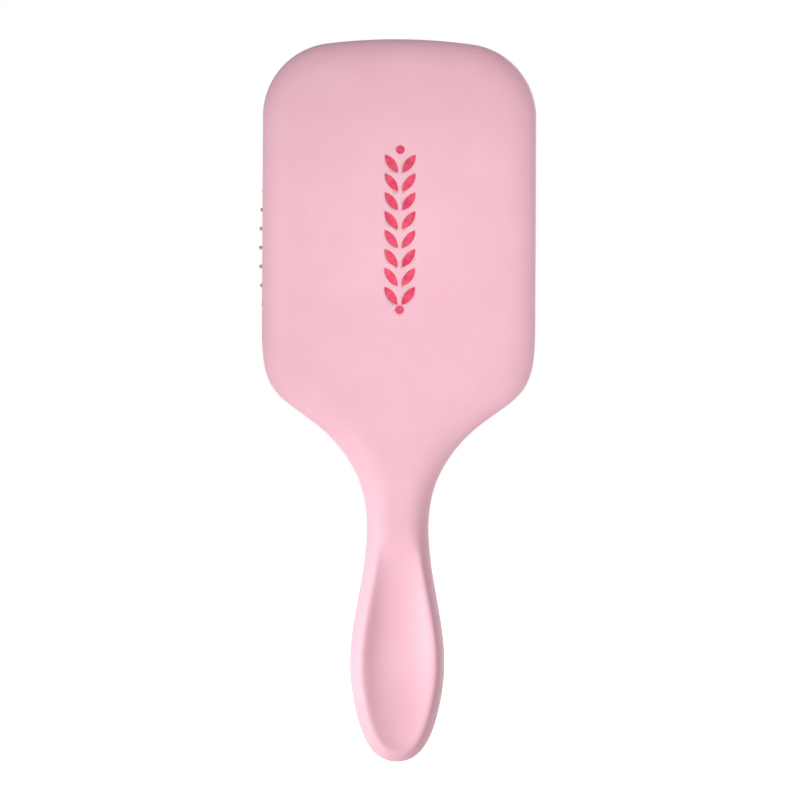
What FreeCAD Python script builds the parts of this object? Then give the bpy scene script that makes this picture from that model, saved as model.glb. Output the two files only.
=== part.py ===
import FreeCAD, Part
import math
import os

from FreeCAD import Placement, Rotation, Vector

# A paddle hair brush in millimetres. +Z runs up the length with the head on top, -Y is
# the smooth back, +Y is the side with the pins, and X = 0 is the plane of symmetry. The
# origin is the middle of the hand grip, on the joint between the two shells.

SIZES = {
    # outline of the handle and head, seen from the back
    "head_width": 93.0,
    "head_top": 210.3,
    "crown_radius": 190.0,
    "head_corner_radius": 25.0,
    "side_end": 112.0,
    "shoulder_height": 51.0,
    "neck_pole": 9.4,
    "neck_level": 37.0,
    "grip_pole": 17.2,
    "grip_level": 5.0,
    "heel_pole": 15.5,
    "heel_level": 17.0,
    "end_pole": 8.8,
    "handle_end": 35.2,
    # depths from the joint plane, and walls
    "head_back": 6.5,
    "grip_back": 9.6,
    "tail_back": 8.2,
    "head_front": 6.5,
    "grip_front": 8.6,
    "tail_front": 7.4,
    "swell_top": 66.0,
    "wall": 2.0,
    "edge_roll_back": 7.0,
    "edge_roll_front": 4.0,
    "hollow_roll_back": 6.0,
    "hollow_roll_front": 0.9,
    "roll_overshoot": 1.03,
    "tongue_inset": 1.0,
    "tongue_wall": 0.75,
    "tongue_length": 1.4,
    "tongue_gap": 0.15,
    # thumb dish in the back of the handle
    "dish_depth": 2.2,
    "dish_radius": 25.0,
    "dish_top": 38.0,
    "dish_bottom": 29.0,
    # opening for the cushion
    "rim_side": 5.5,
    "rim_top": 17.6,
    "rim_bottom": 24.4,
    "opening_side_radius": 230.0,
    "opening_end_radius": 90.0,
    "opening_corner_radius": 24.0,
    "opening_round": 0.8,
    # rubber cushion and the frame behind it
    "cushion_gap": 0.3,
    "skin": 1.2,
    "flange_width": 2.4,
    "crown_height": 7.0,
    "dome_height": 9.0,
    "dome_side_reach": 7.0,
    "dome_end_reach": 8.0,
    "vent_radius": 0.7,
    "vent_margin": 4.5,
    "frame_thickness": 2.0,
    "frame_inset": 2.0,
    "post_radius": 2.2,
    "rib_thickness": 1.4,
    "rib_spacing": 22.0,
    # pins
    "row_pitch": 6.2,
    "row_margin": 7.0,
    "pin_pitch": 7.2,
    "pin_margin": 3.8,
    "pin_length": 23.0,
    "pin_root_radius": 0.75,
    "pin_neck_radius": 0.5,
    "pin_ball_radius": 0.7,
    "pin_head_radius": 1.5,
    "pin_head_thickness": 0.7,
    "pin_collar": 0.6,
    "pin_gap": 0.1,
    "seat_depth": 0.15,
    "seat_gap": 0.05,
    "seat_clearance": 0.3,
    "side_lean": 25.0,
    "end_lean": 8.0,
    # foil emblem let into the back of the head
    "emblem_rise": 5.2,
    "leaf_pairs": 8,
    "leaf_pitch": 6.4,
    "leaf_length": 7.6,
    "leaf_width": 2.9,
    "leaf_angle": 36.0,
    "bead_radius": 1.5,
    "emblem_recess": 0.35,
    "foil_thickness": 0.2,
}

# Each zone of pins moves as one piece. The first number is the lowest share of the
# dome's full height at which a pin belongs to the zone.
ZONES = [(0.86, "centre"), (0.68, "inner"), (0.5, "outer"), (-9.0, "corner")]

os.makedirs("parts", exist_ok=True)
doc = FreeCAD.newDocument("paddle_brush")


def make_sheet():
    """The spreadsheet that holds every driving size, one alias a row."""
    page = doc.addObject("Spreadsheet::Sheet", "Sizes")
    for row, (name, value) in enumerate(SIZES.items(), start=1):
        page.set(f"A{row}", name)
        page.set(f"B{row}", str(value))
        page.setAlias(f"B{row}", name)
    doc.recompute()
    return page


sheet = make_sheet()


def size(name):
    """One driving size, read back from the sheet."""
    return float(sheet.get(name))


# ---------------------------------------------------------------- outlines


def arc(centre, radius, start, end):
    """A circular arc in a sketch, with its angles in radians, counter-clockwise."""
    circle = Part.Circle(Vector(*centre, 0), Vector(0, 0, 1), radius)
    return Part.ArcOfCircle(circle, start, end)


def line(start, end):
    return Part.LineSegment(Vector(*start, 0), Vector(*end, 0))


def clamped_spline(poles):
    """A cubic spline that starts and ends on its first and last pole."""
    knots = [float(k) for k in range(len(poles) - 2)]
    mults = [4] + [1] * (len(knots) - 2) + [4]
    curve = Part.BSplineCurve()
    curve.buildFromPolesMultsKnots([Vector(*p, 0) for p in poles], mults, knots, False, 3)
    return curve


def shoulder_to_end(side):
    """One side of the outline, from the end of the straight side down to the tip."""
    half = size("head_width") / 2
    top = size("side_end")
    drop = size("shoulder_height")
    neck = size("neck_pole")
    poles = [
        (half, top),
        (half, top - 0.22 * drop),
        (half - 0.06 * (half - neck), top - 0.45 * drop),
        (neck + 0.45 * (half - neck), top - 0.63 * drop),
        (neck + 0.04 * (half - neck), top - drop),
        (neck, size("neck_level")),
        (size("grip_pole"), size("grip_level")),
        (size("heel_pole"), -size("heel_level")),
        (size("end_pole"), -size("handle_end")),
        (0, -size("handle_end")),
    ]
    return clamped_spline([(side * x, z) for x, z in poles])


def inset_spline(curve, inset, side):
    """The spline moved in by inset towards the middle of the brush."""
    count = 36
    first, last = curve.FirstParameter, curve.LastParameter
    points = []
    for i in range(count + 1):
        points.append(inset_point(curve, first + (last - first) * i / count, inset, side))
    moved = Part.BSplineCurve()
    moved.interpolate(
        Points=points,
        InitialTangent=curve.tangent(first)[0],
        FinalTangent=curve.tangent(last)[0],
    )
    return moved


def inset_point(curve, at, inset, side):
    """A point of the curve at a parameter, moved in by inset."""
    tangent = curve.tangent(at)[0]
    return curve.value(at) + Vector(tangent.y, -tangent.x, 0) * side * inset


def parameter_at(curve, z):
    """The parameter at which a curve that only descends passes a height."""
    low, high = curve.FirstParameter, curve.LastParameter
    for _ in range(50):
        middle = (low + high) / 2
        if curve.value(middle).y > z:
            low = middle
        else:
            high = middle
    return low


def head_corners():
    """Where the crown's arc is centred, where a corner's arc is, and where they meet."""
    crown_z = size("head_top") - size("crown_radius")
    corner_x = size("head_width") / 2 - size("head_corner_radius")
    gap = size("crown_radius") - size("head_corner_radius")
    corner_z = crown_z + math.sqrt(gap**2 - corner_x**2)
    return crown_z, corner_x, corner_z, math.atan2(corner_z - crown_z, corner_x)


def brush_outline(inset=0.0):
    """The outline of the whole brush, or the same outline moved in by inset."""
    half = size("head_width") / 2
    crown = size("crown_radius")
    corner = size("head_corner_radius")
    crown_z, corner_x, corner_z, turn = head_corners()
    edges = [
        arc((0, crown_z), crown - inset, turn, math.pi - turn),
        arc((corner_x, corner_z), corner - inset, 0, turn),
        arc((-corner_x, corner_z), corner - inset, math.pi - turn, math.pi),
    ]
    for side in (1, -1):
        x = side * (half - inset)
        edges.append(line((x, corner_z), (x, size("side_end"))))
        edge = shoulder_to_end(side)
        edges.append(inset_spline(edge, inset, side) if inset else edge)
    return edges


class Barrel:
    """The cushion's outline: a rounded rectangle whose four sides bulge a little."""

    def __init__(self):
        self.half = size("head_width") / 2 - size("rim_side")
        self.bottom = size("side_end") - size("rim_bottom")
        self.top = size("head_top") - size("rim_top")
        self.middle = (self.bottom + self.top) / 2
        self.side = size("opening_side_radius")
        self.end = size("opening_end_radius")
        self.corner = size("opening_corner_radius")
        self.side_x = self.half - self.side
        self.end_z = (self.top - self.bottom) / 2 - self.end
        # the corner's centre, from its distance to the centres of a side and of an end
        near = self.side - self.corner
        far = self.end - self.corner
        gap = math.hypot(self.side_x, self.end_z)
        along = (near**2 - far**2 + gap**2) / (2 * gap)
        across = math.sqrt(near**2 - along**2)
        ux, uz = -self.side_x / gap, self.end_z / gap
        self.corner_x = self.side_x + along * ux - across * uz
        self.corner_z = along * uz + across * ux
        if self.corner_x < 0 or self.corner_z < 0:
            self.corner_x = self.side_x + along * ux + across * uz
            self.corner_z = along * uz - across * ux

    def edges(self, out=0.0):
        """The outline moved outwards by out."""
        low = math.atan2(self.corner_z, self.corner_x - self.side_x)
        high = math.atan2(self.corner_z - self.end_z, self.corner_x)
        edges = []
        for quarter in (0, math.pi):
            flip = 1 if quarter == 0 else -1
            centre = (flip * self.side_x, self.middle)
            edges.append(arc(centre, self.side + out, quarter - low, quarter + low))
            centre = (0, self.middle + flip * self.end_z)
            edges.append(arc(centre, self.end + out, quarter + high, quarter + math.pi - high))
            centre = (flip * self.corner_x, self.middle + flip * self.corner_z)
            edges.append(arc(centre, self.corner + out, quarter + low, quarter + high))
            centre = (-flip * self.corner_x, self.middle + flip * self.corner_z)
            start = quarter + math.pi - high
            edges.append(arc(centre, self.corner + out, start, quarter + math.pi - low))
        return edges

    def half_width(self, z, out=0.0):
        """Half the width of the outline at a height, moved outwards by out."""
        dz = abs(z - self.middle)
        low = math.atan2(self.corner_z, self.corner_x - self.side_x)
        high = math.atan2(self.corner_z - self.end_z, self.corner_x)
        side = self.side + out
        corner = self.corner + out
        if dz <= side * math.sin(low):
            return self.side_x + math.sqrt(side**2 - dz**2)
        if dz <= self.corner_z + corner * math.sin(high):
            return self.corner_x + math.sqrt(corner**2 - (dz - self.corner_z) ** 2)
        return math.sqrt(max((self.end + out) ** 2 - (dz - self.end_z) ** 2, 0.0))


barrel = Barrel()


def depth_at(side, z, hollow=False):
    """The depth of the back (-1) or front (1) at a height, or of the hollow inside it."""
    name = "back" if side < 0 else "front"
    wall = size("wall") if hollow else 0.0
    dish = size("dish_depth") if hollow and side < 0 else 0.0
    head = size(f"head_{name}") - wall
    grip = size(f"grip_{name}") - wall - dish
    tail = size(f"tail_{name}") - wall - dish
    top = size("swell_top")
    if z >= top:
        return head
    if z >= 0:
        return head + (grip - head) * (1 + math.cos(math.pi * z / top)) / 2
    turn = math.pi * z / (2 * size("handle_end"))
    return tail + (grip - tail) * math.cos(turn)


def ring(side, inset, share, hollow=False, flat=None):
    """Edges once round the brush: the outline moved in by inset, at a share of the depth,
    or all at one depth."""
    half = size("head_width") / 2
    crown = size("crown_radius")
    corner = size("head_corner_radius")
    crown_z, corner_x, corner_z, turn = head_corners()
    y = side * share * depth_at(side, size("head_top"), hollow) if flat is None else flat

    def bow(x, z, radius, start, end):
        spots = []
        for angle in (start, (start + end) / 2, end):
            across = x + (radius - inset) * math.cos(angle)
            spots.append(Vector(across, y, z + (radius - inset) * math.sin(angle)))
        return Part.Arc(*spots).toShape()

    def bend(edge, first, last, hand, level):
        stops = [first + (last - first) * i / 16 for i in range(17)]
        spots = []
        for at in stops:
            spot = inset_point(edge, at, inset, hand)
            depth = side * share * depth_at(side, spot.y, hollow) if level is None else level
            spots.append(Vector(spot.x, depth, spot.y))
        curve = Part.BSplineCurve()
        curve.interpolate(Points=spots, Parameters=stops)
        return curve.toShape()

    sides = []
    for hand in (1, -1):
        edge = shoulder_to_end(hand)
        split = parameter_at(edge, size("swell_top"))
        x = hand * (half - inset)
        top, low = Vector(x, y, corner_z), Vector(x, y, size("side_end"))
        start = (0, turn) if hand > 0 else (math.pi, math.pi - turn)
        sides.append(
            [
                bow(hand * corner_x, corner_z, corner, start[1], start[0]),
                Part.makeLine(top, low),
                bend(edge, edge.FirstParameter, split, hand, y),
                bend(edge, split, edge.LastParameter, hand, flat),
            ]
        )
    roof = bow(0, crown_z, crown, math.pi - turn, turn)
    return roof, sides[0], sides[1]


def beyond(side, hollow):
    """Everything beyond the back or front of the brush, or beyond the hollow inside it."""
    reach = size("head_width")
    top, bottom = size("head_top") + 5, -size("handle_end") - 5
    swell, far = size("swell_top"), side * 3 * size("grip_back")
    count, spots = 20, []
    for i in range(count + 1):
        z = swell + (bottom - swell) * i / count
        spots.append(Vector(-reach, side * depth_at(side, z, hollow), z))
    curve = Part.BSplineCurve()
    curve.interpolate(spots)
    corners = [spots[-1], Vector(-reach, far, bottom), Vector(-reach, far, top)]
    corners += [Vector(-reach, spots[0].y, top), spots[0]]
    edges = [Part.makeLine(*corners[i : i + 2]) for i in range(4)] + [curve.toShape()]
    face = Part.Face(Part.Wire(Part.__sortEdges__(edges)))
    return face.extrude(Vector(2 * reach, 0, 0))


def half_solid(side, inset, roll, hollow=False):
    """One side of the brush, from the joint plane to its back or front, with an edge that
    rolls over in a quarter ellipse, or the hollow inside that side."""
    steps, fuller = 5, size("roll_overshoot")
    rings = []
    for i in range(steps + 1):
        angle = math.pi / 2 * i / steps
        rolled = inset + roll * (1 - math.cos(angle))
        rings.append(ring(side, rolled, fuller * math.sin(angle), hollow))
    wires = [Part.Wire([roof] + right + left[::-1]) for roof, right, left in rings]
    far = side * 1.5 * size("grip_back")
    roof, right, left = ring(side, inset + roll, 1, hollow, flat=far)
    lid = Part.Wire([roof] + right + left[::-1])
    faces = list(Part.makeLoft(wires, False, False, False, 3).Faces)
    faces += list(Part.makeLoft([wires[-1], lid], False, True).Faces)
    faces += [Part.Face(wires[0]), Part.Face(lid)]
    shell = Part.Shell(faces)
    shell.sewShape()
    solid = Part.Solid(shell)
    if solid.Volume < 0:
        solid.reverse()
    return solid.cut(beyond(side, hollow))


# ---------------------------------------------------------------- features


def new_body(name):
    body = doc.addObject("PartDesign::Body", name)
    body.Label = name
    return body


def plane_of(body, role):
    return next(f for f in body.Origin.OriginFeatures if f.Role == role)


def sketch_on(body, name, edges, role="XZ_Plane", offset=None):
    """A sketch on one of the body's planes, moved along the plane's normal by offset."""
    sketch = body.newObject("Sketcher::SketchObject", name)
    sketch.AttachmentSupport = [(plane_of(body, role), "")]
    sketch.MapMode = "FlatFace"
    if offset is not None:
        sketch.setExpression("AttachmentOffset.Base.z", offset)
    sketch.addGeometry(edges, False)
    doc.recompute()
    return sketch


def pad(body, sketch, length, reverse=False):
    """Material from the sketch towards -Y, or towards +Y if reversed."""
    feature = body.newObject("PartDesign::Pad", sketch.Name + "_pad")
    feature.Profile = sketch
    feature.setExpression("Length", length)
    feature.Reversed = reverse
    doc.recompute()
    return feature


def pocket(body, sketch, depth=None, reverse=False):
    """A cut from the sketch towards +Y, or towards -Y if reversed. No depth goes through."""
    before = body.Shape.Volume
    feature = body.newObject("PartDesign::Pocket", sketch.Name + "_pocket")
    feature.Profile = sketch
    feature.Reversed = reverse
    if depth is None:
        feature.Type = "ThroughAll"
        feature.Midplane = True
    else:
        feature.setExpression("Length", depth)
    doc.recompute()
    if body.Shape.Volume >= before - 1e-6:
        raise RuntimeError(f"{sketch.Name} cut nothing")
    return feature


def round_edges(body, name, radius, wanted):
    """A fillet on the edges of the body for which wanted(edge) is true."""
    base = body.Tip
    picks = [f"Edge{i}" for i, e in enumerate(base.Shape.Edges, start=1) if wanted(e)]
    feature = body.newObject("PartDesign::Fillet", name)
    feature.Base = (base, picks)
    feature.setExpression("Radius", radius)
    doc.recompute()
    return feature


def middle_of(edge):
    return edge.valueAt((edge.FirstParameter + edge.LastParameter) / 2)


def shell_body(name, side, roll, hollow_roll):
    """A body that starts as one side of the brush, hollowed to the wall's thickness."""
    wall = size("wall")
    blank = doc.addObject("Part::Feature", name + "_blank")
    outside = half_solid(side, 0.0, roll)
    inside = half_solid(side, wall, hollow_roll, hollow=True)
    blank.Shape = outside.cut(inside)
    body = new_body(name)
    body.BaseFeature = blank
    doc.recompute()
    return body


def circle(x, z, radius):
    return Part.Circle(Vector(x, z, 0), Vector(0, 0, 1), radius)


def rectangle(x, z, half_x, half_z):
    corners = [
        (x - half_x, z - half_z),
        (x + half_x, z - half_z),
        (x + half_x, z + half_z),
        (x - half_x, z + half_z),
    ]
    return [line(corners[i], corners[(i + 1) % 4]) for i in range(4)]


# ---------------------------------------------------------------- emblem


def leaf(x, z, angle):
    """A pointed leaf of two arcs, with its middle at (x, z), leaning by angle degrees."""
    half = size("leaf_length") / 2
    wide = size("leaf_width") / 2
    turn = math.radians(angle)
    along = (math.sin(turn), math.cos(turn))
    across = (math.cos(turn), -math.sin(turn))

    def at(a, b):
        return Vector(x + a * along[0] + b * across[0], z + a * along[1] + b * across[1], 0)

    return [
        Part.Arc(at(-half, 0), at(0, wide), at(half, 0)),
        Part.Arc(at(half, 0), at(0, -wide), at(-half, 0)),
    ]


def emblem_edges():
    """A plait: pairs of leaves one above the other, with a bead at each end."""
    pitch = size("leaf_pitch")
    angle = size("leaf_angle")
    lean = math.radians(angle)
    reach = size("leaf_length") / 2 * math.sin(lean)
    shift = reach + size("leaf_width") / 4
    length = size("leaf_pairs") * pitch + 4 * size("bead_radius")
    bottom = barrel.middle + size("emblem_rise") - length / 2
    first = bottom + size("bead_radius") * 2 + pitch / 2
    edges = []
    for i in range(int(size("leaf_pairs"))):
        z = first + i * pitch
        edges += leaf(shift, z, angle)
        edges += leaf(-shift, z, -angle)
    for z in (bottom + size("bead_radius"), bottom + length - size("bead_radius")):
        edges.append(circle(0, z, size("bead_radius")))
    return edges


# ---------------------------------------------------------------- shells


def make_back_shell():
    """The back of the paddle and handle in one moulding, hollow from the joint plane."""
    body = shell_body("back_shell", -1, size("edge_roll_back"), size("hollow_roll_back"))
    rebate = brush_outline(size("tongue_inset") - size("tongue_gap"))
    step = sketch_on(body, "back_rebate", rebate)
    pocket(body, step, "Sizes.tongue_length + Sizes.tongue_gap", reverse=True)
    recess = sketch_on(body, "emblem_seat", emblem_edges(), offset="Sizes.head_back")
    pocket(body, recess, "Sizes.emblem_recess")
    add_posts(body)
    add_ribs(body)
    cut_thumb_dish(body)
    return body


def cut_thumb_dish(body):
    """The shallow dish for the thumb, a spindle turned about a line behind the handle."""
    before = body.Shape.Volume
    axis_y = -(size("grip_back") + size("dish_radius") - size("dish_depth"))
    edge_y = -size("grip_back")
    low, high = -size("dish_bottom"), size("dish_top")
    deep = edge_y + size("dish_depth")
    belly = clamped_spline(
        [
            (edge_y, low),
            (edge_y + 0.45 * size("dish_depth"), low + 2),
            (deep, low + 0.22 * (high - low)),
            (deep + 0.35, low + 0.42 * (high - low)),
            (edge_y + 0.45 * size("dish_depth"), low + 0.75 * (high - low)),
            (edge_y - 1.2, high),
        ]
    )
    edges = [
        belly,
        line((edge_y - 1.2, high), (axis_y, high)),
        line((axis_y, high), (axis_y, low)),
        line((axis_y, low), (edge_y, low)),
    ]
    profile = sketch_on(body, "dish_profile", edges, "YZ_Plane")
    groove = body.newObject("PartDesign::Groove", "thumb_dish")
    groove.Profile = profile
    axis = sketch_axis(body, axis_y)
    groove.ReferenceAxis = (axis, [""])
    groove.Angle = 360
    doc.recompute()
    if body.Shape.Volume >= before - 1:
        raise RuntimeError("the thumb dish cut nothing")


def sketch_axis(body, y):
    """A datum line parallel to Z at a depth behind the handle."""
    datum = body.newObject("PartDesign::Line", "dish_axis")
    datum.AttachmentSupport = [(plane_of(body, "XY_Plane"), "")]
    datum.MapMode = "ObjectZ"
    datum.AttachmentOffset = Placement(Vector(0, y, 0), Rotation())
    doc.recompute()
    return datum


def post_places():
    """Where the posts stand that press the cushion frame forwards."""
    ring = size("flange_width") / 2 - size("frame_inset") / 2
    reach = (barrel.top - barrel.bottom) / 4
    places = []
    for dz in (-reach, 0, reach):
        z = barrel.middle + dz
        places += [(side * barrel.half_width(z, ring), z) for side in (1, -1)]
    places.append((0, barrel.top + ring))
    places.append((0, barrel.bottom - ring))
    return places


def add_posts(body):
    """Round posts on the head's inside wall, up to the back of the cushion frame."""
    foot = "Sizes.head_back - Sizes.wall / 2"
    edges = [circle(x, z, size("post_radius")) for x, z in post_places()]
    feet = sketch_on(body, "posts", edges, offset=foot)
    seat = "Sizes.head_front - Sizes.wall - Sizes.skin - Sizes.frame_thickness"
    pad(body, feet, f"{foot} + {seat}", reverse=True)


def add_ribs(body):
    """Cross ribs that stiffen the hollow neck and handle."""
    half_x = size("neck_pole") - size("wall") / 2
    half_z = size("rib_thickness") / 2
    grip = size("grip_level")
    neck = size("neck_level")
    spacing = size("rib_spacing")
    places = {
        "neck_ribs": ([neck, neck + spacing], "Sizes.head_back - Sizes.wall / 2"),
        "grip_ribs": (
            [grip - spacing / 2, grip + spacing / 2],
            "Sizes.grip_back - Sizes.dish_depth - Sizes.wall / 2",
        ),
    }
    for name, (levels, foot) in places.items():
        edges = [edge for z in levels for edge in rectangle(0, z, half_x, half_z)]
        ribs = sketch_on(body, name, edges, offset=foot)
        pad(body, ribs, f"{foot} - Sizes.tongue_length - 2 * Sizes.tongue_gap", reverse=True)


def make_front_shell():
    """The rim round the cushion and the front of the handle in one moulding."""
    body = shell_body("front_shell", 1, size("edge_roll_front"), size("hollow_roll_front"))
    opening = sketch_on(body, "cushion_opening", barrel.edges())
    pocket(body, opening)
    inset = size("tongue_inset")
    tongue = brush_outline(inset) + brush_outline(inset + size("tongue_wall"))
    foot = sketch_on(body, "tongue", tongue, offset="-Sizes.wall / 4")
    pad(body, foot, "Sizes.tongue_length + Sizes.wall / 4")
    front = size("head_front")

    def lip(edge):
        ys = [v.Point.y for v in edge.Vertexes]
        mid = middle_of(edge)
        inside = barrel.half_width(mid.z, 0.05) > abs(mid.x)
        return inside and min(ys + [mid.y]) > front - 1e-4 and mid.z > barrel.bottom - 0.05

    round_edges(body, "lip_rounding", "Sizes.opening_round", lip)
    return body


def make_cushion_frame():
    """The flat ring that clamps the cushion's flange against the rim from behind."""
    body = new_body("cushion_frame")
    edges = barrel.edges(size("flange_width")) + barrel.edges(-size("frame_inset"))
    start = "-(Sizes.head_front - Sizes.wall - Sizes.skin)"
    pad(body, sketch_on(body, "frame_ring", edges, offset=start), "Sizes.frame_thickness")
    return body


def slab_from(name, edges, start, length, way):
    """An extrusion of closed outlines towards -Y (-1) or +Y (1) from a depth."""
    sketch = doc.addObject("Sketcher::SketchObject", name + "_outline")
    sketch.Placement = Placement(Vector(0, 0, 0), Rotation(Vector(1, 0, 0), 90))
    sketch.addGeometry(edges, False)
    block = doc.addObject("Part::Extrusion", name)
    block.Label = name
    block.Base = sketch
    block.DirMode = "Custom"
    block.Dir = Vector(0, way, 0)
    block.Solid = True
    block.setExpression("LengthFwd", length)
    block.setExpression("Placement.Base.y", start)
    doc.recompute()
    return block


def make_emblem():
    """The foil emblem: thin leaves and beads on the floor of their recess."""
    floor = "-(Sizes.head_back - Sizes.emblem_recess)"
    return slab_from("emblem_foil", emblem_edges(), floor, "Sizes.foil_thickness", -1)


# ---------------------------------------------------------------- cushion


def dome_centre():
    seat = size("head_front") - size("wall")
    return Vector(0, seat + size("crown_height") - size("dome_height"), barrel.middle)


def dome_radii(inset=0.0):
    """Half sizes of the dome's ellipsoid along X, Y and Z."""
    return (
        barrel.half + size("dome_side_reach") - inset,
        size("dome_height") - inset,
        (barrel.top - barrel.bottom) / 2 + size("dome_end_reach") - inset,
    )


def dome_depth(x, z, inset=0.0):
    """The Y of the dome's surface at a place."""
    a, b, c = dome_radii(inset)
    share = 1 - (x / a) ** 2 - ((z - barrel.middle) / c) ** 2
    return dome_centre().y + b * math.sqrt(max(share, 0.0))


def domed_block(name, out, inset):
    """A slab from the seat forwards whose front is the dome, both moved in."""
    start = "Sizes.head_front - Sizes.wall - Sizes.skin"
    length = "Sizes.crown_height + Sizes.dome_height"
    block = slab_from(name + "_block", barrel.edges(out), start, length, 1)
    dome = doc.addObject("Part::Ellipsoid", name + "_dome")
    half_x, half_y, half_z = dome_radii(inset)
    dome.Radius1 = half_z
    dome.Radius2 = half_x
    dome.Radius3 = half_y
    dome.Placement = Placement(dome_centre(), Rotation())
    both = doc.addObject("Part::Common", name)
    both.Base = block
    both.Tool = dome
    doc.recompute()
    return both


def make_cushion(holes):
    """The rubber cushion: a flange, a domed skin with a hole for each pin, and a vent."""
    gap = size("cushion_gap")
    skin = size("skin")
    outer = domed_block("cushion_outside", -gap, 0.0)
    inner = domed_block("cushion_inside", -gap - skin, skin)
    start = "Sizes.head_front - Sizes.wall - Sizes.skin"
    edges = barrel.edges(size("flange_width"))
    flange = slab_from("cushion_flange", edges, start, "Sizes.skin", 1)
    whole = doc.addObject("Part::Fuse", "cushion_whole")
    whole.Base = outer
    whole.Tool = flange
    hollow = doc.addObject("Part::Cut", "cushion_hollow")
    hollow.Base = whole
    hollow.Tool = inner
    doc.recompute()
    drills = doc.addObject("Part::Feature", "cushion_drills")
    drills.Shape = Part.makeCompound(holes)
    cushion = doc.addObject("Part::Cut", "cushion_pad")
    cushion.Label = "cushion_pad"
    cushion.Base = hollow
    cushion.Tool = drills
    doc.recompute()
    return cushion


# ---------------------------------------------------------------- pins


def pin_rows():
    """The places of the pins, row by row from the bottom: [(x, z), ...] a row."""
    room = (barrel.top - barrel.bottom) / 2 - size("row_margin")
    above = int(room / size("row_pitch"))
    rows = []
    for i in range(-above, above + 1):
        z = barrel.middle + i * size("row_pitch")
        reach = barrel.half_width(z, -size("pin_margin"))
        spaces = round(2 * reach / size("pin_pitch"))
        spaces += (spaces + i) % 2
        rows.append([(reach * (2 * j / spaces - 1), z) for j in range(spaces + 1)])
    return rows


def pin_direction(x, z):
    """The way a pin points: straight ahead in the middle, leaning out at the edges."""
    side = math.tan(math.radians(size("side_lean"))) / (barrel.half - size("pin_margin"))
    end = math.tan(math.radians(size("end_lean"))) / ((barrel.top - barrel.bottom) / 2)
    way = Vector(side * x, 1, end * (z - barrel.middle))
    return way.normalize()


def pin_placement(x, z):
    """A pin's own +Z axis starts on the skin's inside and runs along its direction."""
    root = Vector(x, dome_depth(x, z, size("skin")), z)
    return Placement(root, Rotation(Vector(0, 0, 1), pin_direction(x, z)))


def pin_zone(x, z):
    """The zone that a pin moves with, from the height of the dome under it."""
    seat = size("head_front") - size("wall")
    share = (dome_depth(x, z) - seat) / size("crown_height")
    return next(name for lowest, name in ZONES if share >= lowest)


def make_pin_blank():
    """One pin standing on its flat head, with its axis along +Z, tapering to a ball."""
    head = size("pin_head_radius")
    thick = size("pin_head_thickness")
    root = size("pin_root_radius")
    neck = size("pin_neck_radius")
    ball = size("pin_ball_radius")
    tip = size("pin_length")
    centre = tip - ball
    join = centre - math.sqrt(ball**2 - neck**2)
    front = size("seat_depth") - size("seat_gap")
    collar = size("skin") + size("pin_collar")
    edges = [
        line((0, front - thick), (head, front - thick)),
        line((head, front - thick), (head, front)),
        line((head, front), (root, front)),
        line((root, front), (root, collar)),
        line((root, collar), (neck, join)),
        arc((0, centre), ball, math.atan2(join - centre, neck), math.pi / 2),
        line((0, tip), (0, front - thick)),
    ]
    return turned("pin_blank", edges)


def make_drill_blank():
    """What one pin takes out of the skin: its hole, and a seat for its flat head."""
    seat = size("pin_head_radius") + size("seat_clearance")
    hole = size("pin_root_radius") + size("pin_gap")
    back, front = -2 * size("skin"), 2 * size("skin")
    floor = size("seat_depth")
    edges = [
        line((0, back), (seat, back)),
        line((seat, back), (seat, floor)),
        line((seat, floor), (hole, floor)),
        line((hole, floor), (hole, front)),
        line((hole, front), (0, front)),
        line((0, front), (0, back)),
    ]
    return turned("drill_blank", edges)


def turned(name, edges):
    """A solid of revolution about Z from half its section."""
    profile = doc.addObject("Sketcher::SketchObject", name + "_profile")
    profile.Placement = Placement(Vector(0, 0, 0), Rotation(Vector(1, 0, 0), 90))
    profile.addGeometry(edges, False)
    blank = doc.addObject("Part::Revolution", name)
    blank.Source = profile
    blank.Axis = Vector(0, 0, 1)
    blank.Base = Vector(0, 0, 0)
    blank.Angle = 360
    blank.Solid = True
    doc.recompute()
    return blank


def copies_at(blank, places):
    """A copy of a blank on the root of each pin."""
    copies = []
    for x, z in places:
        copy = blank.Shape.copy()
        copy.Placement = pin_placement(x, z)
        copies.append(copy)
    return copies


def make_pins(blank):
    """One node for the pins of each row in each zone."""
    nodes = []
    for number, row in enumerate(pin_rows(), start=1):
        for _, zone in ZONES:
            places = [p for p in row if pin_zone(*p) == zone]
            if not places:
                continue
            node = doc.addObject("Part::Feature", f"pin_row_{number:02d}_{zone}")
            node.Label = f"pin_row_{number:02d}_{zone}"
            node.Shape = Part.makeCompound(copies_at(blank, places))
            nodes.append(node)
    return nodes


def make_skin_holes():
    """What is cut from the skin: a hole and seat for each pin, and the air vent."""
    drills = copies_at(make_drill_blank(), [place for row in pin_rows() for place in row])
    z = barrel.bottom + size("vent_margin")
    vent = Vector(0, dome_depth(0, z) - size("skin") * 2, z)
    drills.append(Part.makeCylinder(size("vent_radius"), size("skin") * 3, vent, Vector(0, 1, 0)))
    return drills


# ---------------------------------------------------------------- the brush


def check_document():
    """Stops if any feature of the document failed."""
    for feature in doc.Objects:
        bad = [state for state in feature.State if state in ("Invalid", "Error")]
        if bad:
            raise RuntimeError(f"{feature.Label} is {bad[0]}")


def write(node):
    """Writes one sub-part to its file, after checking its shape."""
    shape = node.Shape
    if shape.isNull() or not shape.isValid() or not shape.Solids:
        raise RuntimeError(f"{node.Label} has no sound shape")
    shape.exportStep(f"parts/{node.Label}.step")
    print(f"{node.Label}: {len(shape.Solids)} solid(s), {shape.Volume:.1f} mm3")


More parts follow.
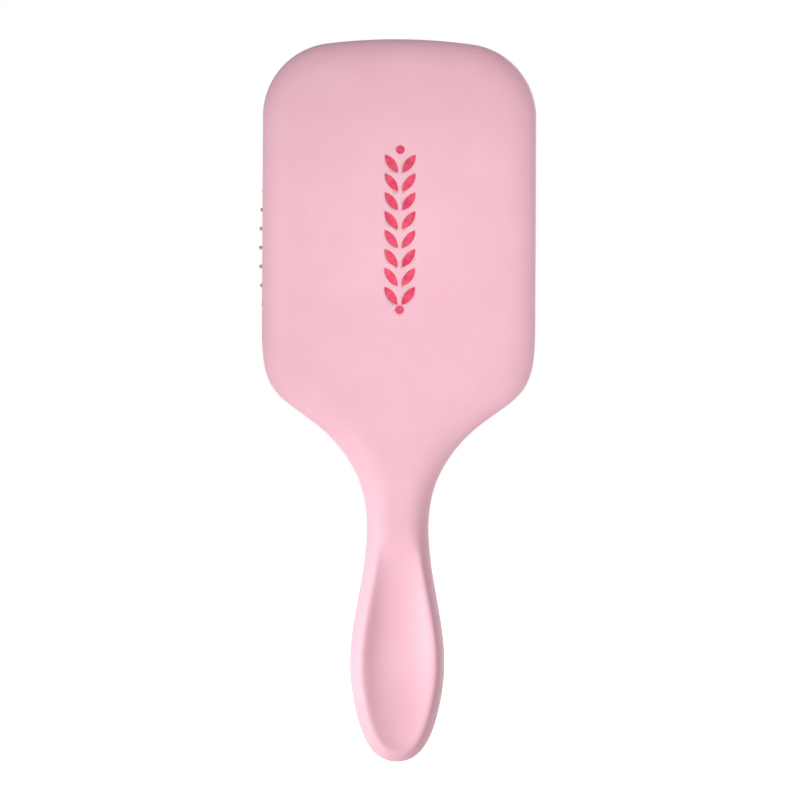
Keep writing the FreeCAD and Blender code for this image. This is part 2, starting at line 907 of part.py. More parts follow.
nodes = [make_back_shell(), make_front_shell(), make_cushion_frame(), make_emblem()]
nodes.append(make_cushion(make_skin_holes()))
nodes += make_pins(make_pin_blank())
doc.recompute()
check_document()
for part_node in nodes:
    write(part_node)
print(f"{len(nodes)} nodes, {sum(len(row) for row in pin_rows())} pins")
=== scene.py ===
import math

import bmesh
import bpy
import numpy as np
from mathutils import Matrix, Vector


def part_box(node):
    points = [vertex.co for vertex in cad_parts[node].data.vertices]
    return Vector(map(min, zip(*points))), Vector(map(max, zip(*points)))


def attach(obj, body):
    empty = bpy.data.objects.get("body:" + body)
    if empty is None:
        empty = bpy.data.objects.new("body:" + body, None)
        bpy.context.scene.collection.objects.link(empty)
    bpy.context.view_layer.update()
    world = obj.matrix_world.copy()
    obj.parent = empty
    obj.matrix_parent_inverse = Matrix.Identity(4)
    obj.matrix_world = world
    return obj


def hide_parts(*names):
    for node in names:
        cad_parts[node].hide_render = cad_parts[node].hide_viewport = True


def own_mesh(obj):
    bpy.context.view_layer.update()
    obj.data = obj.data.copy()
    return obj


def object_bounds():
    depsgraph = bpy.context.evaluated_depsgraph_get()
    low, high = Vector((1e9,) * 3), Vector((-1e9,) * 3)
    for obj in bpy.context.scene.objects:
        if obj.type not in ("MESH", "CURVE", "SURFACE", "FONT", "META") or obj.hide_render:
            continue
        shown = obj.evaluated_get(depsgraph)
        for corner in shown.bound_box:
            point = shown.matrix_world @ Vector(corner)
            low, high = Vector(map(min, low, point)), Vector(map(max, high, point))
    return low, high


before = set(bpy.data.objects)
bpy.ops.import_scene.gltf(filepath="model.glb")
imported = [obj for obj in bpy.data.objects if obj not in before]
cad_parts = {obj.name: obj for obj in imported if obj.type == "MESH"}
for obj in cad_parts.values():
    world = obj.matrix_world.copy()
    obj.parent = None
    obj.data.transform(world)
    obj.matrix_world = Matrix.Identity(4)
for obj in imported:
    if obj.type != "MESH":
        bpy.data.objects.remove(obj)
start_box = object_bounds()

# Lengths are in metres: X across, Z up the length, -Y the smooth back, +Y the pins.
MM = 0.001

back_low, back_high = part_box("back_shell")

HEAD_WIDTH = back_high.x - back_low.x
HEAD_TOP = back_high.z
HANDLE_END = -back_low.z
CROWN_RADIUS = 190 * MM
CORNER_RADIUS = 25 * MM
SIDE_END = 112 * MM
SHOULDER = 51 * MM
NECK = (9.4 * MM, 37 * MM)
GRIP = (17.2 * MM, 5 * MM)
HEEL = (15.5 * MM, -17 * MM)
END_POLE = 8.8 * MM

# the back's depths, the edge that rolls over to them, and the joint line at its foot
HEAD_BACK = 6.5 * MM
GRIP_BACK = 10.5 * MM
TAIL_BACK = 9.0 * MM
SWELL_TOP = 66 * MM
EDGE_WALL = 0.8 * MM
HEAD_ROLL = 9.5 * MM
GRIP_ROLL = 6 * MM
ROLL_CHANGE = (15 * MM, 75 * MM)
SEAM = 0.16 * MM

# the thumb dish
DISH_DEPTH = 3.1 * MM
DISH_TOP = 44 * MM
DISH_FULL = 8 * MM
DISH_END = 28 * MM
DISH_SPINE_END = -19 * MM
DISH_CREST = 3.85 * MM
DISH_FADE = 12 * MM
DISH_HOLLOW = 2.4
DISH_TAIL_LOSS = 0.55
CREST_ROUND = 2.2 * MM

# the opening that holds the cushion
OPENING_HALF = HEAD_WIDTH / 2 - 5.5 * MM
OPENING_BOTTOM = SIDE_END - 24.4 * MM
OPENING_TOP = HEAD_TOP - 17.6 * MM
OPENING_MIDDLE = (OPENING_BOTTOM + OPENING_TOP) / 2
OPENING_HEIGHT = OPENING_TOP - OPENING_BOTTOM
SIDE_RADIUS = 230 * MM
END_RADIUS = 90 * MM
OPENING_CORNER = 24 * MM
CUSHION_SEAT = 4.5 * MM
DOME_RADII = (OPENING_HALF + 7 * MM, 9 * MM, OPENING_HEIGHT / 2 + 8 * MM)
DOME_MIDDLE = 2.5 * MM
CUSHION_GAP = 0.3 * MM
SHOULDER_ROUND = 1.6 * MM

# pins, and the collars moulded round their roots
ROW_PITCH = 6.2 * MM
ROW_MARGIN = 7 * MM
PIN_PITCH = 7.2 * MM
PIN_MARGIN = 3.8 * MM
SIDE_LEAN = math.radians(25)
END_LEAN = math.radians(8)
COLLAR_FOOT = 2.1 * MM
COLLAR_TOP = 1.15 * MM
COLLAR_HEIGHT = 0.55 * MM
VENT_RADIUS = 0.7 * MM
VENT_MARGIN = 4.5 * MM

# the stage
FLOOR_DROP = 40 * MM
FLOOR_REACH = 3.0
FLOOR_STEPS = 24
GLOW_START = 0.12
GLOW_FULL = 0.3
GLOW_LEAST = 0.2
SENSOR = 36
VIEW_WIDTH = 0.272
VIEW_DISTANCE = 1.5
VIEW_AZIMUTH = math.radians(-2.5)
VIEW_TILT = math.radians(0.27)
VIEW_CENTRE = (0.55 * MM, 0, 87.7 * MM)


# ---------------------------------------------------------------- outline of the brush


def cubic_spline(poles, count):
    """Points along a clamped uniform cubic B-spline."""
    spans = len(poles) - 3
    knots = np.r_[[0] * 3, np.arange(spans + 1), [spans] * 3].astype(float)
    at = np.linspace(0, spans * (1 - 1e-9), count)
    return deboor(np.array(poles), knots, at, 3)


def deboor(poles, knots, at, degree):
    """Values of a B-spline at the given parameters."""
    points = []
    for t in at:
        k = int(np.searchsorted(knots, t, side="right")) - 1
        work = [poles[j + k - degree].astype(float) for j in range(degree + 1)]
        for level in range(1, degree + 1):
            for j in range(degree, level - 1, -1):
                low = knots[j + k - degree]
                share = (t - low) / (knots[j + 1 + k - level] - low)
                work[j] = (1 - share) * work[j - 1] + share * work[j]
        points.append(work[degree])
    return np.array(points)


def arc_points(centre, radius, start, end, count):
    """Points of an arc, without its last one."""
    angles = np.linspace(start, end, count, endpoint=False)
    return np.c_[centre[0] + radius * np.cos(angles), centre[1] + radius * np.sin(angles)]


def brush_half():
    """The right half of the outline, from the top of the crown to the tip of the handle."""
    half = HEAD_WIDTH / 2
    crown_z = HEAD_TOP - CROWN_RADIUS
    corner_x = half - CORNER_RADIUS
    gap = CROWN_RADIUS - CORNER_RADIUS
    corner_z = crown_z + math.sqrt(gap**2 - corner_x**2)
    turn = math.atan2(corner_z - crown_z, corner_x)
    crown = arc_points((0, crown_z), CROWN_RADIUS, math.pi / 2, turn, 44)
    corner = arc_points((corner_x, corner_z), CORNER_RADIUS, turn, 0, 34)
    side_z = np.linspace(corner_z, SIDE_END, 40, endpoint=False)
    side = np.c_[np.full_like(side_z, half), side_z]
    poles = [
        (half, SIDE_END),
        (half, SIDE_END - 0.22 * SHOULDER),
        (half - 0.06 * (half - NECK[0]), SIDE_END - 0.45 * SHOULDER),
        (NECK[0] + 0.45 * (half - NECK[0]), SIDE_END - 0.63 * SHOULDER),
        (NECK[0] + 0.04 * (half - NECK[0]), SIDE_END - SHOULDER),
        NECK,
        GRIP,
        HEEL,
        (END_POLE, -HANDLE_END),
        (0, -HANDLE_END),
    ]
    return np.vstack([crown, corner, side, cubic_spline(poles, 210)])


def brush_loop():
    """The whole outline as a closed loop, clockwise from the top of the crown."""
    right = brush_half()
    left = right[-2:0:-1] * (-1, 1)
    return np.vstack([right, left])


def inward(loop):
    """The unit normal that points into the outline, at each point of the loop."""
    along = np.roll(loop, -1, axis=0) - np.roll(loop, 1, axis=0)
    along /= np.linalg.norm(along, axis=1)[:, None]
    return np.c_[along[:, 1], -along[:, 0]]


def edge_distance(points, loop):
    """How far each point lies inside the outline."""
    a = loop
    b = np.roll(loop, -1, axis=0) - a
    length = (b**2).sum(1)
    found = []
    for block in np.array_split(points, max(1, len(points) // 400)):
        gap = block[:, None, :] - a[None]
        share = np.clip((gap * b).sum(2) / length, 0, 1)
        near = gap - share[:, :, None] * b
        found.append(np.sqrt((near**2).sum(2).min(1)))
    return np.concatenate(found)


# ---------------------------------------------------------------- back of the brush


def smooth(low, high, value):
    """Rises smoothly from 0 at low to 1 at high."""
    t = np.clip((value - low) / (high - low), 0, 1)
    return t * t * (3 - 2 * t)


def smooth_min(a, b, width):
    """The lower of two heights, with the crease between them rounded."""
    t = np.clip(0.5 + (b - a) / (2 * width), 0, 1)
    return b + (a - b) * t - width * t * (1 - t)


def roll_width(z):
    """How far the rolled edge reaches in, wider on the head than on the grip."""
    return GRIP_ROLL + (HEAD_ROLL - GRIP_ROLL) * smooth(*ROLL_CHANGE, z)


def back_level(z):
    """The depth of the back along the middle of the brush, without the dish."""
    swell = (1 + np.cos(np.pi * np.clip(z / SWELL_TOP, 0, 1))) / 2
    above = HEAD_BACK + (GRIP_BACK - HEAD_BACK) * swell
    turn = np.clip(z / HANDLE_END, -1, 0) * np.pi / 2
    below = TAIL_BACK + (GRIP_BACK - TAIL_BACK) * np.cos(turn)
    return np.where(z > 0, above, below)


def rolled(inset, z):
    """The depth of the back at a distance inside the outline, without the dish."""
    share = np.clip(1 - inset / roll_width(z), 0, 1)
    return EDGE_WALL + (back_level(z) - EDGE_WALL) * np.sqrt(1 - share**2)


def back_depth(points, inset, loop):
    """The depth of the back at points (x, z) that lie inset inside the outline."""
    z = points[:, 1]
    plain = rolled(inset, z)
    spine = np.c_[np.zeros_like(z), np.clip(z, DISH_SPINE_END, HEAD_TOP - CORNER_RADIUS)]
    room = edge_distance(spine, loop)
    across = np.clip((room - inset) / (room - DISH_CREST), 0, 1.6)
    depth = DISH_DEPTH * smooth(DISH_TOP, DISH_FULL, z)
    depth = depth * (1 - DISH_TAIL_LOSS * smooth(0, -DISH_END, z))
    crest = rolled(np.full_like(z, DISH_CREST), z)
    dish = crest - depth + depth * across**DISH_HOLLOW
    width = CREST_ROUND * np.clip(depth / DISH_DEPTH, 0.15, 1)
    both = smooth_min(plain, dish, width)
    return plain - smooth(DISH_TOP, DISH_TOP - DISH_FADE, z) * (plain - both)


def back_rings(loop):
    """Rings of the back's grid: the joint line, the rolled edge, then the flat middle."""
    normals = inward(loop)
    count = len(loop)
    rings = [
        (loop + normals * SEAM * 1.6, np.zeros(count)),
        (loop + normals * SEAM * 1.6, np.full(count, SEAM)),
        (loop + normals * SEAM * 0.5, np.full(count, SEAM * 1.3)),
        (loop, np.full(count, SEAM * 2.2)),
    ]
    width = roll_width(loop[:, 1])
    steps = 18
    for i in range(steps + 1):
        inset = width * (1 - math.cos(math.pi / 2 * i / steps))
        points = loop + normals * inset[:, None]
        rings.append((points, back_depth(points, inset, loop)))
    last = rings[-1][0]
    target = np.clip(last[:, 1], DISH_SPINE_END, HEAD_TOP - 40 * MM)
    middle = np.c_[np.zeros(count), target]
    fan = 26
    for i in range(1, fan + 1):
        points = last + (middle - last) * i / fan
        rings.append((points, back_depth(points, edge_distance(points, loop), loop)))
    return rings


def mesh_object(name, vertices, faces):
    """A smooth-shaded object from its vertices and faces, with doubles merged."""
    mesh = bpy.data.meshes.new(name)
    mesh.from_pydata([tuple(v) for v in vertices], [], faces)
    work = bmesh.new()
    work.from_mesh(mesh)
    bmesh.ops.remove_doubles(work, verts=work.verts, dist=0.002 * MM)
    bmesh.ops.dissolve_degenerate(work, dist=0.001 * MM, edges=work.edges)
    bmesh.ops.recalc_face_normals(work, faces=work.faces)
    work.to_mesh(mesh)
    work.free()
    mesh.shade_smooth()
    piece = bpy.data.objects.new(name, mesh)
    bpy.context.scene.collection.objects.link(piece)
    return piece


def ring_faces(rings, count):
    """The quads between rings of the same number of points."""
    faces = []
    for k in range(rings - 1):
        for i in range(count):
            j = (i + 1) % count
            a, b = k * count, (k + 1) * count
            faces.append((a + i, a + j, b + j, b + i))
    return faces


def make_back():
    """The back moulding: a soft-edged paddle with the thumb dish in its handle."""
    loop = brush_loop()
    rings = back_rings(loop)
    vertices = [(x, -h, z) for points, depth in rings for (x, z), h in zip(points, depth)]
    return mesh_object("back_moulding", vertices, ring_faces(len(rings), len(loop)))


# ---------------------------------------------------------------- cushion


class Opening:
    """The cushion's outline: a rounded rectangle whose four sides bulge a little."""

    def __init__(self):
        self.side_x = OPENING_HALF - SIDE_RADIUS
        self.end_z = OPENING_HEIGHT / 2 - END_RADIUS
        near = SIDE_RADIUS - OPENING_CORNER
        far = END_RADIUS - OPENING_CORNER
        gap = math.hypot(self.side_x, self.end_z)
        along = (near**2 - far**2 + gap**2) / (2 * gap)
        across = math.sqrt(near**2 - along**2)
        ux, uz = -self.side_x / gap, self.end_z / gap
        self.corner_x = self.side_x + along * ux - across * uz
        self.corner_z = along * uz + across * ux
        self.low = math.atan2(self.corner_z, self.corner_x - self.side_x)
        self.high = math.atan2(self.corner_z - self.end_z, self.corner_x)

    def quarter(self, out):
        """From the middle of the right side up to the middle of the top."""
        side = arc_points((self.side_x, 0), SIDE_RADIUS + out, 0, self.low, 26)
        corner = (self.corner_x, self.corner_z)
        bend = arc_points(corner, OPENING_CORNER + out, self.low, self.high, 30)
        end = arc_points((0, self.end_z), END_RADIUS + out, self.high, math.pi / 2, 26)
        return np.vstack([side, bend, end, [(0, OPENING_HEIGHT / 2 + out)]])

    def loop(self, out):
        """The closed outline, moved outwards by out."""
        first = self.quarter(out)
        second = first[-2::-1] * (-1, 1)
        upper = np.vstack([first, second])
        lower = upper[-2:0:-1] * (1, -1)
        return np.vstack([upper, lower]) + (0, OPENING_MIDDLE)

    def half_width(self, dz, out):
        """Half the width at a distance above or below the middle."""
        dz = abs(dz)
        side, corner = SIDE_RADIUS + out, OPENING_CORNER + out
        if dz <= side * math.sin(self.low):
            return self.side_x + math.sqrt(side**2 - dz**2)
        if dz <= self.corner_z + corner * math.sin(self.high):
            return self.corner_x + math.sqrt(corner**2 - (dz - self.corner_z) ** 2)
        return math.sqrt((END_RADIUS + out) ** 2 - (dz - self.end_z) ** 2)


opening = Opening()


def dome(x, z):
    """The Y of the cushion's crowned skin."""
    a, b, c = DOME_RADII
    share = 1 - (x / a) ** 2 - ((z - OPENING_MIDDLE) / c) ** 2
    return DOME_MIDDLE + b * np.sqrt(np.clip(share, 0, 1))


def pin_roots():
    """Where each pin stands on the skin, as (x, z)."""
    above = int((OPENING_HEIGHT / 2 - ROW_MARGIN) / ROW_PITCH)
    roots = []
    for i in range(-above, above + 1):
        reach = opening.half_width(i * ROW_PITCH, -PIN_MARGIN)
        spaces = round(2 * reach / PIN_PITCH)
        spaces += (spaces + i) % 2
        z = OPENING_MIDDLE + i * ROW_PITCH
        roots += [(reach * (2 * j / spaces - 1), z) for j in range(spaces + 1)]
    return roots


def pin_way(x, z):
    """The way a pin points."""
    side = math.tan(SIDE_LEAN) / (OPENING_HALF - PIN_MARGIN)
    end = math.tan(END_LEAN) / (OPENING_HEIGHT / 2)
    return Vector((side * x, 1, end * (z - OPENING_MIDDLE))).normalized()


def turned_points(profile, steps):
    """A profile of (radius, rise) points turned about an axis, as (across, up, rise)."""
    points = []
    for radius, rise in profile:
        for i in range(steps):
            angle = 2 * math.pi * i / steps
            points.append((radius * math.cos(angle), radius * math.sin(angle), rise))
    return points


def faces_from(first, profile, steps):
    """The faces of a turned profile whose first vertex has a given number."""
    return [tuple(first + k for k in f) for f in ring_faces(len(profile), steps)]


def collar(x, z, first):
    """A low moulded ring round a pin's root, as vertices and faces."""
    way = pin_way(x, z)
    turn = way.to_track_quat("Z", "Y")
    foot = Vector((x, float(dome(x, z)), z))
    profile = [
        (COLLAR_FOOT, -0.35 * MM),
        (COLLAR_FOOT - 0.35 * MM, 0.06 * MM),
        (COLLAR_FOOT - 0.6 * MM, 0.3 * MM),
        (COLLAR_TOP, COLLAR_HEIGHT),
        (COLLAR_TOP - 0.2 * MM, COLLAR_HEIGHT),
        (0.78 * MM, COLLAR_HEIGHT - 0.12 * MM),
        (0.78 * MM, -0.3 * MM),
    ]
    steps = 20
    vertices = [foot + turn @ Vector(spot) for spot in turned_points(profile, steps)]
    return vertices, faces_from(first, profile, steps)


def make_cushion():
    """The crowned rubber cushion with a rounded shoulder, collars and an air vent."""
    foot = opening.loop(-CUSHION_GAP)
    count = len(foot)
    turns = 7
    rings = [(foot, np.full(count, CUSHION_SEAT - 1.2 * MM))]
    for i in range(turns + 1):
        angle = math.pi / 2 * i / turns
        inset = SHOULDER_ROUND * (1 - math.cos(angle))
        points = opening.loop(-CUSHION_GAP - inset)
        drop = SHOULDER_ROUND * (1 - math.sin(angle))
        rings.append((points, dome(points[:, 0], points[:, 1]) - drop))
    last = rings[-1][0]
    middle = np.array([0, OPENING_MIDDLE])
    steps = 60
    for i in range(1, steps + 1):
        points = last + (middle - last) * i / steps
        rings.append((points, dome(points[:, 0], points[:, 1])))
    vertices = [(x, y, z) for points, ys in rings for (x, z), y in zip(points, ys)]
    faces = ring_faces(len(rings), count)
    for x, z in pin_roots():
        spots, quads = collar(x, z, len(vertices))
        vertices += spots
        faces += quads
    vent_z = OPENING_BOTTOM + VENT_MARGIN
    spots, quads = vent_ring(vent_z, len(vertices))
    return mesh_object("crowned_cushion", vertices + spots, faces + quads)


def vent_ring(z, first):
    """The raised rim and shallow well of the air vent."""
    y = float(dome(0, z))
    profile = [
        (VENT_RADIUS + 0.9 * MM, -0.1 * MM),
        (VENT_RADIUS + 0.5 * MM, 0.22 * MM),
        (VENT_RADIUS + 0.15 * MM, 0.25 * MM),
        (VENT_RADIUS, 0.1 * MM),
        (VENT_RADIUS * 0.6, 0.03 * MM),
        (0.02 * MM, 0.02 * MM),
    ]
    steps = 24
    vertices = [(a, y + rise, z + b) for a, b, rise in turned_points(profile, steps)]
    return vertices, faces_from(first, profile, steps)


# ---------------------------------------------------------------- materials


def new_material(name):
    """A new material, with its node tree and its main shader."""
    material = bpy.data.materials.new(name)
    material.use_nodes = True
    tree = material.node_tree
    return material, tree, tree.nodes["Principled BSDF"]


def add(tree, kind, **values):
    """A shader node with its sockets or settings set by name."""
    node = tree.nodes.new(kind)
    for key, value in values.items():
        if key in node.inputs:
            node.inputs[key].default_value = value
        else:
            setattr(node, key, value)
    return node


def object_noise(tree, scale, detail=3.0, roughness=0.55):
    """A noise texture over the object's own coordinates, in metres."""
    place = add(tree, "ShaderNodeTexCoord")
    noise = add(tree, "ShaderNodeTexNoise", Scale=scale, Detail=detail, Roughness=roughness)
    tree.links.new(place.outputs["Object"], noise.inputs["Vector"])
    return noise


def ramp(tree, source, stops):
    """A colour ramp on a value, from (position, colour) stops."""
    node = add(tree, "ShaderNodeValToRGB")
    tree.links.new(source, node.inputs["Fac"])
    elements = node.color_ramp.elements
    elements[0].position, elements[0].color = stops[0]
    elements[1].position, elements[1].color = stops[-1]
    for position, colour in stops[1:-1]:
        elements.new(position).color = colour
    return node


def rgb(red, green, blue):
    """A linear colour from an sRGB one in 0 to 255."""
    parts = []
    for part in (red, green, blue):
        part /= 255
        parts.append(part / 12.92 if part <= 0.04045 else ((part + 0.055) / 1.055) ** 2.4)
    return (*parts, 1.0)


def grey(level):
    """A neutral colour or plain value, for a colour ramp."""
    return (level, level, level, 1.0)


def bump(tree, shader, height, strength, distance, below=None):
    """A bump on the shader's normal, over another bump if one is given."""
    node = add(tree, "ShaderNodeBump", Strength=strength, Distance=distance)
    tree.links.new(height, node.inputs["Height"])
    if below is not None:
        tree.links.new(below.outputs["Normal"], node.inputs["Normal"])
    tree.links.new(node.outputs["Normal"], shader.inputs["Normal"])
    return node


def soft_touch():
    """The pink soft-touch coat: a powdery matte grain, faint mottling and rare lint."""
    material, tree, shader = new_material("soft_touch_coat")
    mottle = object_noise(tree, 60, 4)
    base = ramp(
        tree,
        mottle.outputs["Fac"],
        [(0.35, rgb(240, 185, 199)), (0.65, rgb(243, 190, 203))],
    )
    lint = add(tree, "ShaderNodeTexVoronoi", Scale=420.0, feature="F1")
    place = add(tree, "ShaderNodeTexCoord")
    tree.links.new(place.outputs["Object"], lint.inputs["Vector"])
    near = add(tree, "ShaderNodeMath", operation="LESS_THAN")
    near.inputs[1].default_value = 0.07
    tree.links.new(lint.outputs["Distance"], near.inputs[0])
    rare = add(tree, "ShaderNodeSeparateColor")
    tree.links.new(lint.outputs["Color"], rare.inputs["Color"])
    chosen = add(tree, "ShaderNodeMath", operation="LESS_THAN")
    chosen.inputs[1].default_value = 0.03
    tree.links.new(rare.outputs["Red"], chosen.inputs[0])
    speck = add(tree, "ShaderNodeMath", operation="MULTIPLY")
    tree.links.new(near.outputs[0], speck.inputs[0])
    tree.links.new(chosen.outputs[0], speck.inputs[1])
    mix = add(tree, "ShaderNodeMix", data_type="RGBA")
    tree.links.new(speck.outputs[0], mix.inputs["Factor"])
    tree.links.new(base.outputs["Color"], mix.inputs[6])
    mix.inputs[7].default_value = rgb(226, 160, 178)
    tree.links.new(mix.outputs[2], shader.inputs["Base Color"])
    sheen_map = object_noise(tree, 900, 2)
    rough = ramp(tree, sheen_map.outputs["Fac"], [(0.3, grey(0.5)), (0.7, grey(0.6))])
    tree.links.new(rough.outputs["Color"], shader.inputs["Roughness"])
    shader.inputs["Specular IOR Level"].default_value = 0.35
    shader.inputs["Sheen Weight"].default_value = 0.12
    shader.inputs["Sheen Roughness"].default_value = 0.5
    grain = object_noise(tree, 3800, 2, 0.7)
    wave = object_noise(tree, 35, 2)
    first = bump(tree, shader, wave.outputs["Fac"], 0.25, 0.25 * MM)
    bump(tree, shader, grain.outputs["Fac"], 0.35, 0.035 * MM, first)
    return material


def rubber():
    """Dark grey cushion rubber: dull, finely pitted, with a dusty bloom."""
    material, tree, shader = new_material("cushion_rubber")
    bloom = object_noise(tree, 90, 5, 0.6)
    base = ramp(
        tree, bloom.outputs["Fac"], [(0.3, rgb(66, 64, 66)), (0.72, rgb(88, 85, 88))]
    )
    tree.links.new(base.outputs["Color"], shader.inputs["Base Color"])
    shader.inputs["Roughness"].default_value = 0.62
    shader.inputs["Sheen Weight"].default_value = 0.2
    pits = object_noise(tree, 2600, 3, 0.7)
    bump(tree, shader, pits.outputs["Fac"], 0.4, 0.04 * MM)
    return material


def nylon():
    """Mid-grey moulded nylon: slightly translucent with a soft gloss."""
    material, tree, shader = new_material("pin_nylon")
    cloud = object_noise(tree, 300, 2)
    base = ramp(
        tree, cloud.outputs["Fac"], [(0.3, rgb(160, 158, 161)), (0.7, rgb(176, 174, 177))]
    )
    tree.links.new(base.outputs["Color"], shader.inputs["Base Color"])
    shader.inputs["Roughness"].default_value = 0.34
    shader.inputs["Subsurface Weight"].default_value = 0.15
    shader.inputs["Subsurface Scale"].default_value = 0.6 * MM
    marks = object_noise(tree, 1500, 2)
    bump(tree, shader, marks.outputs["Fac"], 0.15, 0.02 * MM)
    return material


def frame_plastic():
    """The dark moulded ring behind the cushion, with a spark-eroded grain."""
    material, tree, shader = new_material("frame_plastic")
    cloud = object_noise(tree, 120, 3)
    base = ramp(
        tree, cloud.outputs["Fac"], [(0.3, rgb(82, 80, 82)), (0.7, rgb(98, 95, 98))]
    )
    tree.links.new(base.outputs["Color"], shader.inputs["Base Color"])
    shader.inputs["Roughness"].default_value = 0.5
    grain = object_noise(tree, 3000, 2)
    bump(tree, shader, grain.outputs["Fac"], 0.3, 0.04 * MM)
    return material


def rose_foil():
    """Hot-stamped rose-red foil: metallic, with a fine crinkle."""
    material, tree, shader = new_material("rose_foil")
    tone = object_noise(tree, 420, 3, 0.6)
    base = ramp(
        tree, tone.outputs["Fac"], [(0.3, rgb(196, 52, 84)), (0.7, rgb(222, 84, 112))]
    )
    tree.links.new(base.outputs["Color"], shader.inputs["Base Color"])
    shader.inputs["Metallic"].default_value = 0.75
    crinkle = object_noise(tree, 1600, 3, 0.6)
    rough = ramp(tree, crinkle.outputs["Fac"], [(0.3, grey(0.26)), (0.7, grey(0.42))])
    tree.links.new(rough.outputs["Color"], shader.inputs["Roughness"])
    bump(tree, shader, crinkle.outputs["Fac"], 0.5, 0.03 * MM)
    return material


def white_floor():
    """A plain pale floor that glows faintly, and white in its far part behind the object."""
    material, tree, shader = new_material("white_floor")
    mottle = object_noise(tree, 3, 2)
    base = ramp(tree, mottle.outputs["Fac"], [(0.0, grey(0.9)), (1.0, grey(0.92))])
    tree.links.new(base.outputs["Color"], shader.inputs["Base Color"])
    shader.inputs["Roughness"].default_value = 0.9
    shader.inputs["Emission Color"].default_value = (1, 1, 1, 1)
    place = add(tree, "ShaderNodeTexCoord")
    parts = add(tree, "ShaderNodeSeparateXYZ")
    tree.links.new(place.outputs["Object"], parts.inputs[0])
    far = add(tree, "ShaderNodeMapRange", interpolation_type="SMOOTHSTEP")
    far.inputs["From Min"].default_value = GLOW_START
    far.inputs["From Max"].default_value = GLOW_FULL
    far.inputs["To Min"].default_value = GLOW_LEAST
    tree.links.new(parts.outputs["Y"], far.inputs["Value"])
    tree.links.new(far.outputs["Result"], shader.inputs["Emission Strength"])
    return material


def dress(piece, material):
    """Gives a piece one material all over."""
    piece.data.materials.clear()
    piece.data.materials.append(material)


# ---------------------------------------------------------------- stage


def make_world():
    """White behind the object, and softer light from its sides and from its back."""
    world = bpy.data.worlds.new("studio")
    bpy.context.scene.world = world
    world.use_nodes = True
    tree = world.node_tree
    place = add(tree, "ShaderNodeTexCoord")
    parts = add(tree, "ShaderNodeSeparateXYZ")
    tree.links.new(place.outputs["Generated"], parts.inputs[0])
    along = ramp(
        tree,
        remap(tree, parts.outputs["Y"]),
        [
            (0.0, grey(0.46)),
            (0.35, grey(0.38)),
            (0.6, grey(0.2)),
            (0.9, grey(0.4)),
            (0.93, grey(1.0)),
        ],
    )
    tree.links.new(along.outputs["Color"], tree.nodes["Background"].inputs["Color"])


def remap(tree, value):
    """Brings a value from the range -1 to 1 into 0 to 1."""
    node = add(tree, "ShaderNodeMapRange")
    node.inputs["From Min"].default_value = -1
    tree.links.new(value, node.inputs["Value"])
    return node.outputs["Result"]


def area_light(name, place, aim, width, power, spread=180):
    """A soft square light that points at a place, with its beam's spread in degrees."""
    light = bpy.data.lights.new(name, "AREA")
    light.size = width
    light.energy = power
    light.spread = math.radians(spread)
    lamp = bpy.data.objects.new(name, light)
    lamp.location = place
    lamp.rotation_euler = (Vector(aim) - Vector(place)).to_track_quat("-Z", "Y").to_euler()
    bpy.context.scene.collection.objects.link(lamp)
    return lamp


def make_floor(level):
    """A wide pale sheet a little below the tip of the handle."""
    reach = FLOOR_REACH
    steps = FLOOR_STEPS
    vertices = []
    faces = []
    for i in range(steps + 1):
        for j in range(steps + 1):
            x = reach * (2 * i / steps - 1)
            y = reach * (2 * j / steps - 1)
            vertices.append((x, y, level))
    for i in range(steps):
        for j in range(steps):
            a = i * (steps + 1) + j
            faces.append((a, a + 1, a + steps + 2, a + steps + 1))
    floor = mesh_object("floor", vertices, faces)
    dress(floor, white_floor())
    return floor


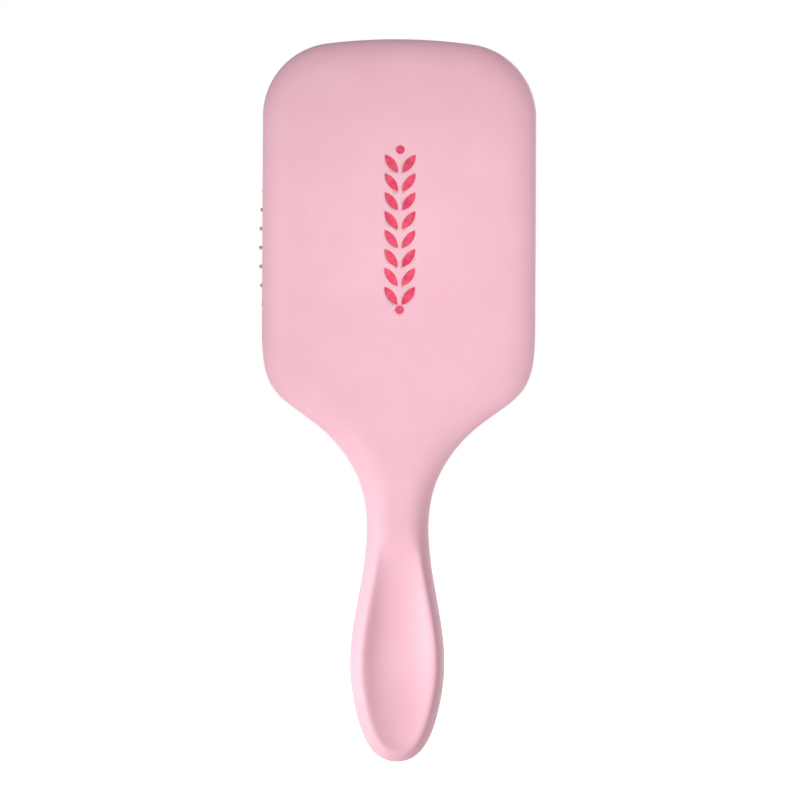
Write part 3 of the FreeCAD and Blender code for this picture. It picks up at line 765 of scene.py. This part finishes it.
def make_camera():
    """Straight on to the back, from slightly left, level with the middle of the brush."""
    target = Vector(VIEW_CENTRE)
    away = Vector((math.sin(VIEW_AZIMUTH), -math.cos(VIEW_AZIMUTH), 0))
    camera = bpy.data.cameras.new("camera")
    camera.lens = SENSOR * VIEW_DISTANCE / VIEW_WIDTH
    camera.sensor_width = SENSOR
    eye = bpy.data.objects.new("camera", camera)
    aim = (-away).to_track_quat("-Z", "Y").to_matrix()
    tilt = Matrix.Rotation(VIEW_TILT, 3, "Z")
    place = Matrix.Translation(target + away * VIEW_DISTANCE)
    eye.matrix_world = place @ (aim @ tilt).to_4x4()
    bpy.context.scene.collection.objects.link(eye)
    bpy.context.scene.camera = eye


def cut_emblem(piece):
    """Sinks the emblem's recess into the back, down to the foil."""
    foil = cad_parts["emblem_foil"]
    low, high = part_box("emblem_foil")
    cutter = bpy.data.objects.new("emblem_cutter", foil.data.copy())
    bpy.context.scene.collection.objects.link(cutter)
    for vertex in cutter.data.vertices:
        vertex.co.y = low.y - 1 * MM if vertex.co.y < (low.y + high.y) / 2 else high.y
    cut = piece.modifiers.new("emblem_recess", "BOOLEAN")
    cut.operation = "DIFFERENCE"
    cut.solver = "EXACT"
    cut.object = cutter
    bpy.context.view_layer.objects.active = piece
    bpy.ops.object.modifier_apply(modifier=cut.name)
    bpy.data.objects.remove(cutter)


# ---------------------------------------------------------------- the scene

coat = soft_touch()
back = make_back()
cut_emblem(back)
dress(back, coat)
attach(back, "handle")
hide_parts("back_shell")

cushion = make_cushion()
dress(cushion, rubber())
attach(cushion, "handle")
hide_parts("cushion_pad")
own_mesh(cushion)

dress(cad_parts["front_shell"], coat)
dress(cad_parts["cushion_frame"], frame_plastic())
dress(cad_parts["emblem_foil"], rose_foil())
pin_material = nylon()
for name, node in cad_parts.items():
    if name.startswith("pin_row"):
        dress(node, pin_material)

make_world()
make_floor(start_box[0][2] - FLOOR_DROP)
head = (0, 0, OPENING_MIDDLE)
grip = (0, 0, 0)
area_light("head_key", (-0.2, -0.62, 0.1), (0.01, 0, 0.14), 0.16, 0.05, 18)
area_light("grip_key", (-0.42, -0.28, -0.02), grip, 0.1, 0.04, 20)
area_light("pins_fill", (0.9, 1.3, 0.8), head, 1.0, 14.0)
make_camera()
bpy.context.scene.view_settings.view_transform = "Standard"
